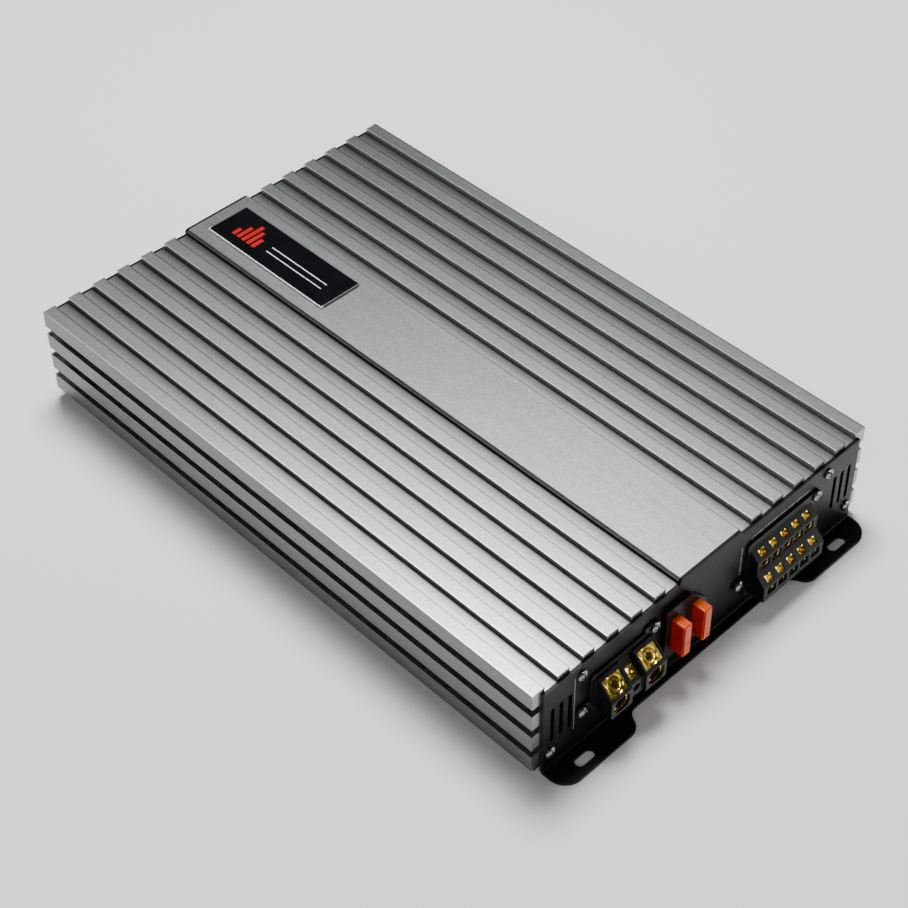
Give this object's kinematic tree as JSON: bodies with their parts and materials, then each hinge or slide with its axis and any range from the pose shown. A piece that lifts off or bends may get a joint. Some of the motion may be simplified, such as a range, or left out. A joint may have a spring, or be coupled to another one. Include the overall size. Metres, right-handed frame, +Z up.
{
  "type": "car audio amplifier",
  "caption": "Flat car audio amplifier: ribbed aluminium heatsink case, black end plates with slotted feet, screw terminals, blade fuses, and a signal end with jacks and knobs.",
  "frame": {"origin": "centre of the footprint, on the plane of the feet's undersides", "axes": "+X along the case towards the power and speaker terminals, +Z up through the ribbed top"},
  "size_m": [0.356, 0.215, 0.0561],
  "materials": {
    "shell_aluminium": "bead-blasted, clear anodised",
    "black_steel": "satin black powder coat",
    "zinc_steel": "bright zinc",
    "badge_metal": "polished",
    "badge_gloss": "gloss black lacquer",
    "board_green": "solder mask",
    "gold_brass": "gold plated",
    "plain_brass": "turned",
    "ferrite": "sintered",
    "copper": "enamelled wire",
    "capacitor_sleeve": "shrink sleeve",
    "transistor_black": "moulded epoxy",
    "pad_grey": "silicone",
    "block_black": "moulded nylon",
    "fuse_orange": "clear coloured moulding",
    "jack_nickel": "nickel plated",
    "jack_red": "moulded",
    "knob_black": "moulded",
    "slider_white": "moulded",
    "lens_blue": "clear moulding"
  },
  "bodies": {
    "root": {"heatsink": "shell_aluminium", "bottom_plate": "black_steel", "terminal_end_plate": "black_steel", "control_end_plate": "black_steel", "end_plate_screws": "zinc_steel", "bottom_plate_screws": "zinc_steel", "badge_frame": "badge_metal", "badge_face": "badge_gloss", "circuit_board": "board_green", "board_standoffs": "plain_brass", "board_screws": "zinc_steel", "toroid_core": "ferrite", "toroid_winding": "copper", "filter_capacitors": "capacitor_sleeve", "inductor_cores": "ferrite", "inductor_windings": "copper", "power_transistors": "transistor_black", "insulating_pads": "pad_grey", "clamp_bars": "zinc_steel", "clamp_bar_screws": "zinc_steel", "power_terminal_block": "block_black", "power_contacts": "gold_brass", "fuse_holder": "block_black", "fuse_clips": "gold_brass", "speaker_terminal_block": "block_black", "speaker_contacts": "gold_brass", "terminal_fixing_screws": "zinc_steel", "bus_bars": "copper", "rca_block": "block_black", "rca_shells": "jack_nickel", "rca_insulators": "jack_red", "pot_bodies": "zinc_steel", "switch_frames": "zinc_steel", "indicator_lenses": "lens_blue"},
    "fuse_1": {"fuse_1_body": "fuse_orange", "fuse_1_blades": "zinc_steel"},
    "fuse_2": {"fuse_2_body": "fuse_orange", "fuse_2_blades": "zinc_steel"},
    "battery_screw": {"battery_screw": "gold_brass"},
    "remote_screw": {"remote_screw": "gold_brass"},
    "ground_screw": {"ground_screw": "gold_brass"},
    "speaker_screw_1": {"speaker_screw_1": "gold_brass"},
    "speaker_screw_2": {"speaker_screw_2": "gold_brass"},
    "speaker_screw_3": {"speaker_screw_3": "gold_brass"},
    "speaker_screw_4": {"speaker_screw_4": "gold_brass"},
    "speaker_screw_5": {"speaker_screw_5": "gold_brass"},
    "speaker_screw_6": {"speaker_screw_6": "gold_brass"},
    "speaker_screw_7": {"speaker_screw_7": "gold_brass"},
    "speaker_screw_8": {"speaker_screw_8": "gold_brass"},
    "speaker_screw_9": {"speaker_screw_9": "gold_brass"},
    "speaker_screw_10": {"speaker_screw_10": "gold_brass"},
    "front_gain_knob": {"front_gain_knob": "knob_black"},
    "rear_gain_knob": {"rear_gain_knob": "knob_black"},
    "high_pass_knob": {"high_pass_knob": "knob_black"},
    "low_pass_knob": {"low_pass_knob": "knob_black"},
    "front_mode_slider": {"front_mode_slider": "slider_white"},
    "rear_mode_slider": {"rear_mode_slider": "slider_white"}
  },
  "joints": [
    {"name": "fuse_1_slide", "type": "slide", "parent": "root", "child": "fuse_1", "axis": [1, 0, 0], "range_m": [0, 0.012]},
    {"name": "fuse_2_slide", "type": "slide", "parent": "root", "child": "fuse_2", "axis": [1, 0, 0], "range_m": [0, 0.012]},
    {"name": "battery_screw_turn", "type": "hinge", "parent": "root", "child": "battery_screw", "pos_m": [0.17095, -0.0665, 0.03315], "axis": [-0.7071, 0, -0.7071], "range_deg": [-270, 1530]},
    {"name": "ground_screw_turn", "type": "hinge", "parent": "root", "child": "ground_screw", "pos_m": [0.17095, -0.0453, 0.03315], "axis": [-0.7071, 0, -0.7071], "range_deg": [-270, 1530]},
    {"name": "remote_screw_turn", "type": "hinge", "parent": "root", "child": "remote_screw", "pos_m": [0.1702, -0.0559, 0.0314], "axis": [-0.7071, 0, -0.7071], "range_deg": [-225, 1125]},
    {"name": "speaker_screw_1_turn", "type": "hinge", "parent": "root", "child": "speaker_screw_1", "pos_m": [0.17275, 0.03226, 0.02105], "axis": [-0.7071, 0, -0.7071], "range_deg": [-405, 1845]},
    {"name": "speaker_screw_2_turn", "type": "hinge", "parent": "root", "child": "speaker_screw_2", "pos_m": [0.17275, 0.03988, 0.02105], "axis": [-0.7071, 0, -0.7071], "range_deg": [-405, 1845]},
    {"name": "speaker_screw_3_turn", "type": "hinge", "parent": "root", "child": "speaker_screw_3", "pos_m": [0.17275, 0.0475, 0.02105], "axis": [-0.7071, 0, -0.7071], "range_deg": [-405, 1845]},
    {"name": "speaker_screw_4_turn", "type": "hinge", "parent": "root", "child": "speaker_screw_4", "pos_m": [0.17275, 0.05512, 0.02105], "axis": [-0.7071, 0, -0.7071], "range_deg": [-405, 1845]},
    {"name": "speaker_screw_5_turn", "type": "hinge", "parent": "root", "child": "speaker_screw_5", "pos_m": [0.17275, 0.06274, 0.02105], "axis": [-0.7071, 0, -0.7071], "range_deg": [-405, 1845]},
    {"name": "speaker_screw_6_turn", "type": "hinge", "parent": "root", "child": "speaker_screw_6", "pos_m": [0.1678, 0.03226, 0.034], "axis": [-0.7071, 0, -0.7071], "range_deg": [-405, 1845]},
    {"name": "speaker_screw_7_turn", "type": "hinge", "parent": "root", "child": "speaker_screw_7", "pos_m": [0.1678, 0.03988, 0.034], "axis": [-0.7071, 0, -0.7071], "range_deg": [-405, 1845]},
    {"name": "speaker_screw_8_turn", "type": "hinge", "parent": "root", "child": "speaker_screw_8", "pos_m": [0.1678, 0.0475, 0.034], "axis": [-0.7071, 0, -0.7071], "range_deg": [-405, 1845]},
    {"name": "speaker_screw_9_turn", "type": "hinge", "parent": "root", "child": "speaker_screw_9", "pos_m": [0.1678, 0.05512, 0.034], "axis": [-0.7071, 0, -0.7071], "range_deg": [-405, 1845]},
    {"name": "speaker_screw_10_turn", "type": "hinge", "parent": "root", "child": "speaker_screw_10", "pos_m": [0.1678, 0.06274, 0.034], "axis": [-0.7071, 0, -0.7071], "range_deg": [-405, 1845]},
    {"name": "front_gain_knob_turn", "type": "hinge", "parent": "root", "child": "front_gain_knob", "pos_m": [-0.1662, 0.012, 0.0285], "axis": [-1, 0, 0], "range_deg": [-135, 135]},
    {"name": "rear_gain_knob_turn", "type": "hinge", "parent": "root", "child": "rear_gain_knob", "pos_m": [-0.1662, -0.004, 0.0285], "axis": [-1, 0, 0], "range_deg": [-135, 135]},
    {"name": "high_pass_knob_turn", "type": "hinge", "parent": "root", "child": "high_pass_knob", "pos_m": [-0.1662, -0.02, 0.0285], "axis": [-1, 0, 0], "range_deg": [-135, 135]},
    {"name": "low_pass_knob_turn", "type": "hinge", "parent": "root", "child": "low_pass_knob", "pos_m": [-0.1662, -0.036, 0.0285], "axis": [-1, 0, 0], "range_deg": [-135, 135]},
    {"name": "front_mode_slider_slide", "type": "slide", "parent": "root", "child": "front_mode_slider", "axis": [0, 1, 0], "range_m": [-0.0025, 0.0025]},
    {"name": "rear_mode_slider_slide", "type": "slide", "parent": "root", "child": "rear_mode_slider", "axis": [0, 1, 0], "range_m": [-0.0025, 0.0025]}
  ]
}
